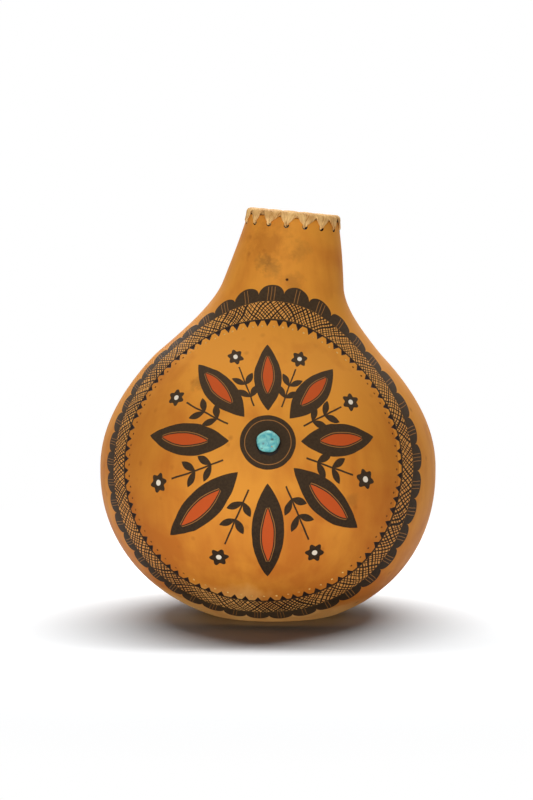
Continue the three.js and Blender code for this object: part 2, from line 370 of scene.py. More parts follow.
def painted_border(add, spot):
    """Paint and scratches of the border, a spot's chord length in its round, and its depth in the hatch."""
    radius, angle = compass(add, spot, COMPASS_POINT)
    for count, sway, phase in RING_SWAYS:
        wave = add("COSINE", add("MULTIPLY", add("SUBTRACT", angle, phase), count))
        radius = add("MULTIPLY_ADD", wave, -sway, radius)
    inner = add("POWER", add("MAXIMUM", add("COSINE", angle), 0), BULGE_POWER)
    inner = add("MULTIPLY_ADD", inner, -INNER_BULGE, radius)
    # Scallops: round lobes of uneven height, closer together at the lower left, each with a few scratches
    crowded = add("SINE", add("SUBTRACT", angle, CROWDING_FROM))
    turns = add("MULTIPLY_ADD", crowded, -SCALLOP_CROWDING, angle)
    turns = add("MULTIPLY_ADD", turns, SCALLOPS / TURN, SCALLOP_START)
    scallop = add("FLOOR", turns)
    chance = add("ShaderNodeTexWhiteNoise", named={"W": scallop}, noise_dimensions="1D")
    off = add("SUBTRACT", add("SUBTRACT", turns, scallop), 0.5)
    bulge = add("MAXIMUM", add("MULTIPLY_ADD", add("MULTIPLY", off, off), -4, 1), 0)
    edge = add("MULTIPLY_ADD", add("SQRT", bulge), RING_LOBE - RING_CUSP, RING_CUSP)
    edge = add("MULTIPLY_ADD", add("SUBTRACT", chance, 0.5), SCALLOP_PLAY, edge)
    paint = between(add, radius, RING_SOLID, edge)
    across = add("MULTIPLY", off, SCALLOP_WIDTH)
    shifted = add("MULTIPLY_ADD", add("GREATER_THAN", chance, 0.6), SCRATCH_STEP / 2, across)
    scratch = strokes(add, add("DIVIDE", shifted, SCRATCH_STEP), SCRATCH_STEP, SCRATCH_WIDTH)
    scratch = add("MINIMUM", scratch, add("SUBTRACT", SCRATCH_SPAN, add("ABSOLUTE", across)))
    scratch = add("MINIMUM", scratch, between(add, radius, RING_SOLID + 0.6, add("SUBTRACT", edge, 1)))
    # Crosshatch: two sets of slanting lines between the scallops and the inner lines
    hatched = add("MINIMUM", add("SUBTRACT", inner, RING_HATCH), add("SUBTRACT", RING_SOLID, radius))
    for lean, drift in ((HATCH_LEAN, 1 / 18), (-HATCH_LEAN, 1 / 24)):
        strayed = add("ShaderNodeTexNoise", spot, named={"Scale": drift, "Detail": 1.0})
        turns = add("MULTIPLY_ADD", angle, HATCH_LINES / TURN, add("MULTIPLY", radius, lean))
        turns = add("MULTIPLY_ADD", strayed, HATCH_STRAY, turns)
        uneven = add("ShaderNodeTexNoise", named={"W": turns, "Scale": HATCH_UNEVEN, "Detail": 1.0},
                     noise_dimensions="1D")
        lines = strokes(add, add("MULTIPLY_ADD", uneven, HATCH_CROWDING, turns), HATCH_STEP, HATCH_WIDTH)
        lines = add("MULTIPLY_ADD", add("SUBTRACT", strayed, 0.5), HATCH_SWELL, lines)
        paint = add("MAXIMUM", paint, add("MINIMUM", lines, hatched))
    paint = add("MAXIMUM", paint, between(add, inner, *RING_LINE))
    return paint, scratch, radius, hatched


def painted_rosette(add, spot, ring_radius):
    """Paint, rust, cream and scratches of the rosette round the stone."""
    reach, angle = compass(add, spot, STONE_SPOT)
    left = add("MAXIMUM", add("SUBTRACT", FIELD_RADIUS, ring_radius), 1)
    whole = add("ADD", reach, left)
    way = add("DIVIDE", reach, whole)
    turns = add("MULTIPLY", angle, PETALS / TURN)
    halfway = add("ADD", turns, 0.5)
    arc = add("MULTIPLY", reach, TURN / PETALS)
    # Petals, each with a rust heart that a scratched line goes round
    across = add("MULTIPLY", off_whole(add, turns), arc)
    petal = leaf(add, way, across, PETAL_SPAN, PETAL_HALF)
    heart = leaf(add, way, across, HEART_SPAN, HEART_HALF)
    rim = between(add, heart, -2.6 * FINE_LINE, -1.6 * FINE_LINE)
    rim = add("MINIMUM", rim, petal)
    # Stems with sprigs of leaves and a small flower at the end, between the petals
    across = add("MULTIPLY", off_whole(add, halfway), arc)
    along = add("MULTIPLY", add("SUBTRACT", way, BUD_PLACE), whole)
    from_bud = add("SQRT", add("MULTIPLY_ADD", across, across, add("MULTIPLY", along, along)))
    lobes = add("COSINE", add("MULTIPLY", add("ARCTAN2", across, along), BUD_LOBES))
    bud = add("SUBTRACT", add("MULTIPLY_ADD", lobes, BUD_LOBE, BUD_RADIUS), from_bud)
    eye = add("SUBTRACT", BUD_EYE, from_bud)
    stem = add("MINIMUM", add("SUBTRACT", STEM_HALF, across),
               add("MULTIPLY", between(add, way, *STEM_SPAN), whole))
    paint = add("MAXIMUM", petal, add("MAXIMUM", bud, stem))
    for place in SPRIGS:
        # A leaf on each side that leans out by 45 degrees: its own length and breadth from the stem
        up = add("MULTIPLY", add("SUBTRACT", way, place), whole)
        length = add("MULTIPLY", add("ADD", up, across), 0.7071)
        breadth = add("ABSOLUTE", add("MULTIPLY", add("SUBTRACT", up, across), 0.7071))
        sprig = leaf(add, add("DIVIDE", length, SPRIG_LENGTH), breadth, (0, 1), SPRIG_HALF)
        paint = add("MAXIMUM", paint, sprig)
    # Roundel under the stone, with one scratched circle
    roundel = add("SUBTRACT", ROUNDEL_RADIUS, reach)
    circle = add("SUBTRACT", FINE_LINE / 2, add("ABSOLUTE", add("SUBTRACT", reach, ROUNDEL_LINE)))
    paint = add("MAXIMUM", paint, roundel)
    scratch = add("MAXIMUM", circle, rim)
    return paint, heart, eye, scratch


# Stains of the rind: middle, radius, how much of the stain shows, and its colour
STAINS = (
    ((-41.2, -66.9, 153.1), 6.5, 0.5, "#8a5a28"),
    ((-1, -30.5, 236), 15, 0.45, "#a55e20"),
    ((-3.5, -31.5, 224), 5, 0.5, "#8d602c"),
    ((3.5, -33.5, 219.5), 5.5, 0.45, "#8d602c"),
    ((15.5, -36.5, 211), 6.5, 0.4, "#98622a"),
    ((20.5, -31.5, 231), 7, 0.35, "#98622a"),
    ((51.1, -91.5, 83.1), 5, 0.35, "#8a5a28"),
    ((11.7, -36.6, 213), 0.85, 1.5, "#3a2010"),
)


def waxed_rind():
    """Dried gourd rind rubbed with wax: warm orange tan with slow mottling and brown stains, a satin sheen,
    dark brown matt paint with a scratched-through pattern, rust and cream touches."""
    made, add = new_material("waxed_gourd_rind")
    spot = millimetres(add)
    # Mottling in patches of about 40 and 9 mm, with faint streaks up and down
    patches = add("ShaderNodeTexNoise", spot, named={"Scale": 1 / 40, "Detail": 4.0, "Distortion": 0.6})
    stretched = add("ShaderNodeVectorMath", spot, (1, 1, 0.25), operation="MULTIPLY")
    streaks = add("ShaderNodeTexNoise", stretched, named={"Scale": 1 / 9, "Detail": 3.0})
    mottle_and_painted_light = add("MULTIPLY_ADD", streaks, 0.35, add("MULTIPLY", patches, 0.65))
    # The rind is painted paler towards the shoulder and deeper below, painted light from above, and it is
    # deeper on the neck
    height = add("ShaderNodeSeparateXYZ", spot, out="Z")
    mottle_and_painted_light = add("ADD", mottle_and_painted_light, add("ShaderNodeMapRange", height, 20, 170, 0.1, -0.17))
    mottle_and_painted_light = add("ADD", mottle_and_painted_light, add("ShaderNodeMapRange", height, 185, 215, 0, 0.05))
    layers = [(add("ShaderNodeMapRange", mottle_and_painted_light, 0.36, 0.64), linear("#c47229"))]
    # The rind is painted paler at the foot: painted light, as the white table throws it up
    painted_foot_light = add("ShaderNodeMapRange", add("MULTIPLY_ADD", patches, 50, height), 24, 50, 1, 0)
    layers.append((painted_foot_light, linear("#f6bb70")))
    ragged = add("ShaderNodeTexNoise", spot, named={"Scale": 1 / 6, "Detail": 4.0, "Roughness": 0.65})
    for middle, radius, strength, tint in STAINS:
        away = add("ShaderNodeVectorMath", spot, middle, operation="DISTANCE", out="Value")
        edge = add("MULTIPLY_ADD", ragged, radius * 2.4, away)
        stain = add("ShaderNodeMapRange", edge, radius * 2.4, radius * 1.5, 0, strength)
        layers.append((stain, linear(tint)))
    # Freckles, in one of two cells of 11 mm
    cells = {"Scale": 1 / 11}
    to_freckle = add("ShaderNodeTexVoronoi", spot, named=cells)
    chosen = add("ShaderNodeTexVoronoi", spot, named=cells, out="Color")
    chosen = add("ShaderNodeMapRange", add("ShaderNodeSeparateXYZ", chosen), 0.5, 1, 0, 0.55)
    freckle = add("MULTIPLY", add("ShaderNodeMapRange", to_freckle, 0.2, 0.05), chosen)
    layers.append((freckle, linear("#9c5420")))
    # The hand that drew wavers by a fraction of a millimetre
    waver = add("ShaderNodeTexNoise", spot, named={"Scale": 1 / 11, "Detail": 1.0}, out="Color")
    waver = add("ShaderNodeVectorMath", waver, (0.5, 0.5, 0.5), operation="SUBTRACT")
    drawn = add("ShaderNodeVectorMath", waver, (1.1, 1.1, 1.1), spot, operation="MULTIPLY_ADD")
    border, border_scratch, ring_radius, hatched = painted_border(add, drawn)
    paint, rust, cream, scratch = painted_rosette(add, drawn, ring_radius)
    paint = add("MAXIMUM", paint, border)
    scratch = add("MAXIMUM", scratch, border_scratch)
    # Inside the border the rind is painted deeper towards both sides, painted shade where it turns from the
    # front light, and under the hatch it is scraped paler
    aside = add("ABSOLUTE", add("ShaderNodeSeparateXYZ", spot, out="X"))
    painted_side_shade = add("ShaderNodeMapRange", aside, 45, 82, 0, 0.5)
    painted_side_shade = add("MULTIPLY", painted_side_shade, add("LESS_THAN", ring_radius, RING_LINE[0]))
    on_hatch = add("GREATER_THAN", hatched, 0)
    # The paint is worn in small grains, and painted paler towards the top and at the foot as painted light;
    # both less in the hatch
    grain = add("ShaderNodeTexNoise", spot, named={"Scale": 1 / 1.4, "Detail": 3.0})
    wear = add("ShaderNodeMapRange", grain, 0.35, 0.7)
    wear_and_painted_light = add("MULTIPLY_ADD", wear, 0.3, add("ShaderNodeMapRange", height, 50, 150, 0.1, 0.5))
    wear_and_painted_light = add("ADD", wear_and_painted_light, painted_foot_light)
    wear_and_painted_light = add("MULTIPLY", wear_and_painted_light, add("MULTIPLY_ADD", on_hatch, -0.7, 1))
    dark = add("ShaderNodeMix", wear_and_painted_light, named={6: linear("#2b2017"), 7: linear("#4d3c2a")}, **COLOURS)
    painted = add("ShaderNodeMapRange", paint, *PAINT_EDGE)
    scratched = add("ShaderNodeMapRange", scratch, *PAINT_EDGE)
    layers += [
        (painted_side_shade, linear("#a2581c")),
        (add("MULTIPLY", on_hatch, 0.45), linear("#e8ad64")),
        (painted, dark),
        (add("ShaderNodeMapRange", rust, *PAINT_EDGE), linear("#c15324")),
        (add("ShaderNodeMapRange", cream, *PAINT_EDGE), linear("#e8dcc8")),
        (add("MULTIPLY", scratched, 0.7), linear("#b87c42")),
    ]
    colour = linear("#de9236")
    for cover, tint in layers:
        colour = add("ShaderNodeMix", cover, named={6: colour, 7: tint}, **COLOURS)
    roughness = add("MULTIPLY_ADD", patches, 0.12, 0.46)
    roughness = add("MULTIPLY_ADD", painted, 0.06, roughness)
    relief = add("MULTIPLY_ADD", painted, 0.12, add("MULTIPLY", grain, 0.2))
    relief = add("MULTIPLY_ADD", scratched, -0.25, relief)
    give_surface(add, colour, roughness, relief, 0.12, Specular_IOR_Level=0.05)
    return made


def plain_fibrous(name, pale, deep, grain, roughness, depth):
    """A matt material of two colours in grains of a size in millimetres, with a bump as deep as depth."""
    made, add = new_material(name)
    metres = add("ShaderNodeTexCoord", out="Object")
    noise = add("ShaderNodeTexNoise", metres, named={"Scale": 1 / (grain * MM), "Detail": 4.0})
    share = add("ShaderNodeMapRange", noise, 0.35, 0.65)
    colour = add("ShaderNodeMix", share, named={6: linear(deep), 7: linear(pale)}, **COLOURS)
    give_surface(add, colour, roughness, noise, depth, Specular_IOR_Level=0.2)
    return made


def split_fibre():
    """Split plant fibre, soaked and pulled tight: pale straw strips with brown threads along them, matt."""
    made, add = new_material("split_plant_fibre")
    winding = add("ShaderNodeAttribute", attribute_name="winding", out="Vector")
    threads = add("ShaderNodeVectorMath", winding, (1 / 0.7, 1 / 20, 5), operation="MULTIPLY")
    thread = add("ShaderNodeTexNoise", threads, named={"Scale": 1.0, "Detail": 3.0})
    metres = add("ShaderNodeTexCoord", out="Object")
    patch = add("ShaderNodeTexNoise", metres, named={"Scale": 1 / (5 * MM), "Detail": 2.0})
    share = add("MULTIPLY_ADD", thread, 0.5, add("MULTIPLY", patch, 0.5))
    share = add("ShaderNodeMapRange", share, 0.36, 0.58)
    colour = add("ShaderNodeMix", share, named={6: linear("#b67d3b"), 7: linear("#efc17c")}, **COLOURS)
    give_surface(add, colour, 0.62, thread, 0.1, Specular_IOR_Level=0.25)
    return made


# Flecks of the stone: place to the right and up from its middle, radius and colour
FLECKS = (
    ((2.7, 2.2), 1.1, "#3f6367"),
    ((-2.8, -0.3), 0.9, "#4b7477"),
    ((-3.5, -3.3), 0.8, "#4f7a78"),
    ((2.4, -2.1), 0.7, "#b08a55"),
)


def tumbled_turquoise():
    """Turquoise nugget, tumbled to a soft polish: blue-green cloud, dark matrix flecks and a tan one."""
    made, add = new_material("tumbled_turquoise")
    spot = millimetres(add)
    cloud = add("ShaderNodeTexNoise", spot, named={"Scale": 1 / 3.2, "Detail": 4.0, "Distortion": 0.5})
    share = add("ShaderNodeMapRange", cloud, 0.36, 0.64)
    colour = add("ShaderNodeMix", share, named={6: linear("#459fa8"), 7: linear("#80cac0")}, **COLOURS)
    ragged = add("ShaderNodeTexNoise", spot, named={"Scale": 1 / 1.1, "Detail": 3.0})
    for (right, up), radius, tint in FLECKS:
        middle = (STONE_SPOT[0] + right, STONE_SPOT[1] - 5, STONE_SPOT[2] + up)
        away = add("ShaderNodeVectorMath", spot, middle, operation="SUBTRACT")
        flat = add("ShaderNodeVectorMath", away, (1, 0.15, 1.3), operation="MULTIPLY")
        length = add("ShaderNodeVectorMath", flat, operation="LENGTH", out="Value")
        length = add("MULTIPLY_ADD", ragged, radius, length)
        cover = add("ShaderNodeMapRange", length, radius * 1.7, radius * 0.9)
        colour = add("ShaderNodeMix", cover, named={6: colour, 7: linear(tint)}, **COLOURS)
    give_surface(add, colour, 0.34, ragged, 0.06, Specular_IOR_Level=0.4)
    return made


def table_top():
    """White table: round the gourd it keeps the shadow, and farther off what is seen of it fades to white."""
    made, add = new_material("white_table")
    seen = seen_rays(add)
    metres = add("ShaderNodeTexCoord", out="Object")
    away = add("ShaderNodeVectorMath", metres, operation="LENGTH", out="Value")
    faded = add("ShaderNodeMapRange", away, *TABLE_FADE, interpolation_type="SMOOTHSTEP")
    colour = add("ShaderNodeMix", seen, named={6: TABLE_THROWN, 7: TABLE_SEEN}, **COLOURS)
    lit = add("ShaderNodeBsdfDiffuse", colour)
    white = add("ShaderNodeEmission", (1, 1, 1, 1), 1)
    add("ShaderNodeOutputMaterial", add("ShaderNodeMixShader", add("MULTIPLY", seen, faded), lit, white))
    return made


RIND = waxed_rind()
# Raw gourd flesh inside the shell: pale, dry and pithy, with no sheen
PITH = plain_fibrous("dry_gourd_pith", "#c9a877", "#93703f", 4, 0.9, 0.3)
# Carved chips, burnt dark: nearly black with brown scorch in places. The lacing holes take the same colour,
# as painted shade
CHIP_AND_HOLE_SHADE = plain_fibrous("burnt_carving_and_hole_shade", "#2a170b", "#120a05", 1.2, 0.75, 0.1)
# Punched dots: pale, a painted highlight in the dimples
PUNCH_HIGHLIGHT = plain_fibrous("punched_rind_painted_highlight", "#efc878", "#c78f45", 1.5, 0.7, 0.05)
# Dots far to the sides: brown and dull, painted shade in the dimples
DOT_SHADE = plain_fibrous("painted_shade_in_dots", "#9a5c24", "#5a3212", 1.5, 0.85, 0.05)
# Bundle of plant fibre under the lace: straw brown and dull
BUNDLE = plain_fibrous("twisted_fibre", "#d2a569", "#a0743a", 0.9, 0.85, 0.15)
# Pitch, melted round the stone: black with a dull gloss
PITCH = plain_fibrous("melted_pitch", "#1d1713", "#0c0a08", 1.5, 0.42, 0.1)
LACE = split_fibre()
TURQUOISE = tumbled_turquoise()


# Meshes made by trees of geometry nodes

def geometry_tree(name, sizes):
    """A tree with a named input for each size, the call that adds a node to it, and its inputs by name."""
    kinds = {int: "NodeSocketInt", float: "NodeSocketFloat", bpy.types.Material: "NodeSocketMaterial"}
    tree = bpy.data.node_groups.new(name, "GeometryNodeTree")
    tree.interface.new_socket("Geometry", in_out="OUTPUT", socket_type="NodeSocketGeometry")
    tree.interface.new_socket("Geometry", in_out="INPUT", socket_type="NodeSocketGeometry")
    for size, value in sizes.items():
        tree.interface.new_socket(size, in_out="INPUT", socket_type=kinds[type(value)])
    return tree, partial(node, tree), tree.nodes.new("NodeGroupInput").outputs


def grow(name, base, tree, sizes):
    """The plain mesh that a tree makes of a base mesh with these sizes."""
    source = add_object(name, base)
    shape = source.modifiers.new("shape", "NODES")
    shape.node_group = tree
    for item in tree.interface.items_tree:
        if item.in_out == "INPUT" and item.name in sizes:
            shape[item.identifier] = sizes[item.name]
    mesh = bpy.data.meshes.new_from_object(source.evaluated_get(bpy.context.evaluated_depsgraph_get()))
    bpy.data.objects.remove(source)
    return mesh


def marked_points(name, **marks):
    """Loose points that carry named vectors, in metres, for a tree to read."""
    count = len(next(iter(marks.values())))
    mesh = bpy.data.meshes.new(name)
    mesh.from_pydata([(0, 0, 0)] * count, [], [])
    for key, vectors in marks.items():
        kept = mesh.attributes.new(key, "FLOAT_VECTOR", "POINT")
        kept.data.foreach_set("vector", np.array([list(vector) for vector in vectors]).ravel())
    return mesh


def turned_gourd(sizes):
    """Tree that turns the profile's rings into a closed shell and presses slow lumps into it."""
    tree, add, size = geometry_tree("turned_gourd", sizes)
    rings = add("GeometryNodeAttributeDomainSize", size["Geometry"], component="MESH")
    columns = add("ADD", size["Sides"], 1)
    grid = add("GeometryNodeMeshGrid", 1, 1, rings, columns)
    index = add("GeometryNodeInputIndex")
    row = add("FLOOR", add("DIVIDE", add("ADD", index, 0.5), columns))
    column = add("SUBTRACT", index, add("MULTIPLY", row, columns))
    angle = add("DIVIDE", add("MULTIPLY", column, TURN), size["Sides"])
    place = (0, 0, 0)
    shares = {"middle": (1, 1, 1), "right": add("COSINE", angle), "back": add("SINE", angle)}
    for name, share in shares.items():
        mark = add("GeometryNodeInputNamedAttribute", name, data_type="FLOAT_VECTOR")
        axis = add("GeometryNodeSampleIndex", size["Geometry"], mark, row, data_type="FLOAT_VECTOR")
        place = add("ShaderNodeVectorMath", axis, share, place, operation="MULTIPLY_ADD")
    shell = add("GeometryNodeSetPosition", grid, True, place)
    shell = add("GeometryNodeFlipFaces", shell)
    shell = add("GeometryNodeMergeByDistance", shell, True, 0.001 * MM)
    # The skin swells on the shoulder and the bowl and dips in slow lumps, less towards the base and the rim
    position = add("GeometryNodeInputPosition")
    per_lump = add("DIVIDE", 1, size["Lump size"])
    noise = add("ShaderNodeTexNoise", position, named={"Scale": per_lump, "Detail": 1.0})
    height = add("ShaderNodeSeparateXYZ", position, out="Z")
    fade = add("MINIMUM", height, add("SUBTRACT", size["Rim height"], height))
    fade = add("ShaderNodeMapRange", fade, 0, size["Lump fade"])
    normal = add("GeometryNodeInputNormal")
    steep = add("ABSOLUTE", add("ShaderNodeSeparateXYZ", normal, out="Z"))
    rise = add("SUBTRACT", add("MULTIPLY", steep, size["Swell"]), add("MULTIPLY", noise, size["Lump depth"]))
    offset = add("ShaderNodeVectorMath", normal, add("MULTIPLY", rise, fade), operation="MULTIPLY")
    shell = add("GeometryNodeSetPosition", shell, named={"Offset": offset})
    shell = add("GeometryNodeRealizeInstances", shell)
    shell = add("GeometryNodeSetMaterial", shell, True, size["Skin"])
    inside = add("GREATER_THAN", index, add("MULTIPLY_ADD", size["Skin rings"], size["Sides"], -0.5))
    add("NodeGroupOutput", add("GeometryNodeSetMaterial", shell, inside, size["Hollow"]))
    return tree


# Tools of one unit each way: a chip's three-cornered point, a round punch and a drill
TOOLS = {
    "chip": ("GeometryNodeMeshCone", {"Vertices": 3, "Radius Top": 1, "Radius Bottom": 0, "Depth": 1}),
    "punch": ("GeometryNodeMeshIcoSphere", {"Radius": 1, "Subdivisions": 2}),
    "drill": ("GeometryNodeMeshCylinder", {"Vertices": 20, "Radius": 1, "Depth": 1}),
}
MARKS = ("place", "facing", "inward", "share")


def tool_marks(tool, sizes):
    """Tree that puts a tool at each marked point, facing out of the skin and turned inward."""
    tree, add, size = geometry_tree(tool + "_marks", sizes)
    kind, unit = TOOLS[tool]
    shape = add(kind, named=unit)
    mark = {
        name: add("GeometryNodeInputNamedAttribute", name, data_type="FLOAT_VECTOR") for name in MARKS
    }
    points = add("GeometryNodeSetPosition", size["Geometry"], True, mark["place"])
    turn = add("FunctionNodeAlignRotationToVector", named={"Vector": mark["facing"]}, axis="Z")
    turn = add("FunctionNodeAlignRotationToVector", turn, 1, mark["inward"], axis="X", pivot_axis="Z")
    whole = add("ShaderNodeCombineXYZ", size["Length"], size["Width"], size["Depth"])
    scale = add("ShaderNodeVectorMath", whole, mark["share"], operation="MULTIPLY")
    marks = add("GeometryNodeInstanceOnPoints", points,
                named={"Instance": shape, "Rotation": turn, "Scale": scale})
    marks = add("GeometryNodeRealizeInstances", marks)
    add("NodeGroupOutput", add("GeometryNodeSetMaterial", marks, True, size["Material"]))
    return tree


def twisted_bundle(sizes):
    """Tree that winds strands round a ring on the cut edge of the rim."""
    tree, add, size = geometry_tree("twisted_bundle", sizes)
    ring = add("GeometryNodeCurvePrimitiveCircle", named={0: size["Ring points"], 4: size["Ring radius"]})
    copied = {"Geometry": ring, "Amount": size["Strands"]}
    copies = add("GeometryNodeDuplicateElements", named=copied, domain="SPLINE")
    copy_index = copies.node.outputs["Duplicate Index"]
    around = add("MULTIPLY", add("GeometryNodeSplineParameter", out="Factor"), TURN)
    start = add("DIVIDE", add("MULTIPLY", copy_index, TURN), size["Strands"])
    twist = add("MULTIPLY_ADD", around, size["Twists"], start)
    radius = add("MULTIPLY_ADD", add("COSINE", twist), size["Twist reach"], size["Ring radius"])
    place = add(
        "ShaderNodeCombineXYZ",
        add("MULTIPLY", radius, add("COSINE", around)),
        add("MULTIPLY", radius, add("SINE", around)),
        add("MULTIPLY", add("SINE", twist), size["Twist rise"]),
    )
    strands = add("GeometryNodeSetPosition", copies, True, place)
    section = add("GeometryNodeCurvePrimitiveCircle", named={0: STRAND_SIDES, 4: size["Strand radius"]})
    strands = add("GeometryNodeCurveToMesh", strands, section)
    strands = add("GeometryNodeRealizeInstances", strands)
    add("NodeGroupOutput", add("GeometryNodeSetMaterial", strands, True, size["Material"]))
    return tree


# Gourd shell: rings up the skin, over the cut edge and down the hollow, then carved, punched and drilled

def climb(floor, step):
    """Heights from a floor to just under the rounded rim, about a step apart along the skin."""
    heights = [floor]
    top = RIM_HEIGHT - EDGE_ROUNDING
    while heights[-1] < top:
        heights.append(heights[-1] + step / math.hypot(1, outer_slope(heights[-1])))
    return [floor + (height - floor) * (top - floor) / (heights[-1] - floor) for height in heights]


def rounded_edge(radius, way):
    """Rings over one corner of the cut edge; way is 1 for the outer corner and -1 for the inner one."""
    rings = []
    for turn in (30, 60, 90):
        out = EDGE_ROUNDING * (1 - math.cos(math.radians(turn)))
        up = EDGE_ROUNDING * math.sin(math.radians(turn))
        rings.append(gourd_ring(RIM_HEIGHT - EDGE_ROUNDING + up, radius - way * out))
    return rings


def shell_mesh():
    skin = [gourd_ring(0, (BASE_RADIUS - BASE_ROUNDING) * share) for share in (0, 0.5, 1)]
    for turn in (20, 40, 60):
        height = BASE_ROUNDING * (1 - math.cos(math.radians(turn))) / 2
        inset = BASE_ROUNDING * (1 - math.sin(math.radians(turn * 1.5)))
        skin.append(gourd_ring(height, outer_radius(height) - inset))
    skin += [gourd_ring(height, outer_radius(height)) for height in climb(BASE_ROUNDING / 2, SKIN_STEP)]
    skin += rounded_edge(outer_radius(RIM_HEIGHT), 1)
    hollow = [gourd_ring(WALL, skin_radius(WALL, WALL) * share) for share in (0, 0.5)]
    hollow += [gourd_ring(height, skin_radius(height, WALL)) for height in climb(WALL, HOLLOW_STEP)]
    hollow += rounded_edge(skin_radius(RIM_HEIGHT, WALL), -1)
    rings = skin + hollow[::-1]
    marks = {name: [ring[at] * MM for ring in rings] for at, name in enumerate(("middle", "right", "back"))}
    sizes = {
        "Sides": SHELL_SIDES, "Skin rings": len(skin) - 1, "Skin": RIND, "Hollow": PITH,
        "Lump depth": LUMP_DEPTH * MM, "Lump size": LUMP_SIZE * MM, "Lump fade": LUMP_FADE * MM,
        "Swell": SKIN_SWELL * MM, "Rim height": RIM_HEIGHT * MM,
    }
    return grow("turned_shell", marked_points("shell_rings", **marks), turned_gourd(sizes), sizes)


shell = shell_mesh()
skin_tree = BVHTree.FromPolygons([v.co / MM for v in shell.vertices], [p.vertices for p in shell.polygons])


def front_skin(right, up):
    """Point and normal of the front skin seen at a place to the right and up."""
    point, normal, _, _ = skin_tree.ray_cast(Vector((right, -2 * BELLY_RADIUS, up)), Vector((0, 1, 0)))
    return point, normal


def ring_sway(angle):
    """How far the inner edge of the border strays from its round at an angle."""
    bulge = INNER_BULGE * max(0, math.cos(angle)) ** BULGE_POWER
    return bulge + sum(sway * math.cos(count * (angle - phase)) for count, sway, phase in RING_SWAYS)


def on_round(angle, radius):
    """Place, outward and inward directions on the compass-drawn round at an angle."""
    centre = Vector(COMPASS_POINT)
    reach = radius + ring_sway(angle)
    low, high = 0, reach
    for _ in range(24):
        out = (low + high) / 2
        point, normal = front_skin(centre.x + out * math.cos(angle), centre.z + out * math.sin(angle))
        low, high = (low, out) if point is None or (point - centre).length > reach else (out, high)
    inward = centre - point
    return point, normal, (inward - normal * inward.dot(normal)).normalized()


def tool_mesh(tool, places, length, width, depth, material):
    """Mesh of one tool at each of its places, given as place, facing, inward and size share."""
    marks = {name: [place[at] for place in places] for at, name in enumerate(MARKS)}
    marks["place"] = [place * MM for place in marks["place"]]
    sizes = {"Length": length * MM, "Width": width * MM, "Depth": depth * MM, "Material": material}
    return grow(tool + "_tool", marked_points(tool + "_places", **marks), tool_marks(tool, sizes), sizes)


def carved_shell(mesh):
    """The shell with its chips, dots and lacing holes cut out of it."""
    chance = random.Random(7)
    chips, dots, holes = [], [], []
    for tooth in range(TEETH):
        angle = (tooth + chance.uniform(-TOOTH_PLAY, TOOTH_PLAY)) / TEETH * TURN
        place, facing, inward = on_round(angle, RING_LINE[0] + TOOTH_LAP - TOOTH_LENGTH / 3)
        share = chance.uniform(0.9, 1.08)
        chips.append((place - facing * TOOTH_DEPTH, facing, inward, (share, share, 1)))
        place, facing, inward = on_round(angle + TURN / TEETH / 2, DOT_REACH)
        dots.append((place + facing * DOT_RADIUS * 0.3, facing, inward, (1, 1, 1)))
    for hole in range(HOLE_COUNT):
        angle = FIRST_HOLE + hole / HOLE_COUNT * TURN
        height = RIM_HEIGHT - HOLE_DEPTH
        outside = gourd_point(height, angle, 0)
        inside = gourd_point(height, angle, WALL)
        holes.append(((outside + inside) / 2, (outside - inside).normalized(), RIM_UP, (1, 1, 1)))
    # Dots near the middle carry a painted highlight, those far to the sides painted shade
    lit_dots = [dot for dot in dots if abs(dot[0].x) < SHADED_BEYOND]
    shaded_dots = [dot for dot in dots if abs(dot[0].x) >= SHADED_BEYOND]
    # A chip is cut by a cone that starts its own depth above the skin, so it is twice as wide there
    cuts = (
        tool_mesh("chip", chips, 2 * TOOTH_LENGTH / 1.5, 2 * TOOTH_WIDTH / 3 ** 0.5, 2 * TOOTH_DEPTH, CHIP_AND_HOLE_SHADE),
        tool_mesh("punch", lit_dots, DOT_RADIUS, DOT_RADIUS, DOT_RADIUS, PUNCH_HIGHLIGHT),
        tool_mesh("punch", shaded_dots, DOT_RADIUS, DOT_RADIUS, DOT_RADIUS, DOT_SHADE),
        # The holes' walls are painted nearly black: painted shade
        tool_mesh("drill", holes, HOLE_RADIUS, HOLE_RADIUS, 2 * WALL, CHIP_AND_HOLE_SHADE),
    )
    body = add_object("uncut_shell", mesh)
    tools = [add_object("cutting_tool", cut) for cut in cuts]
    for tool in tools:
        cut = body.modifiers.new("cut", "BOOLEAN")
        cut.operation = "DIFFERENCE"
        cut.solver = "EXACT"
        cut.material_mode = "TRANSFER"
        cut.object = tool
    made = bpy.data.meshes.new_from_object(body.evaluated_get(bpy.context.evaluated_depsgraph_get()))
    for helper in (body, *tools):
        bpy.data.objects.remove(helper)
    return made


def band_faces(rings, count):
    """Faces between rings that have the same count of points."""
    return [
        (a * count + b, a * count + (b + 1) % count, (a + 1) * count + (b + 1) % count, (a + 1) * count + b)
        for a in range(rings - 1) for b in range(count)
    ]


# Lace: the track of one stitch through a hole and over the rim, and a ribbon wound along it

def bend(start, corner, end):
    return [
        tuple((1 - t) ** 2 * a + 2 * t * (1 - t) * b + t * t * c for a, b, c in zip(start, corner, end))
        for t in np.linspace(0, 1, BEND_STEPS)
    ]


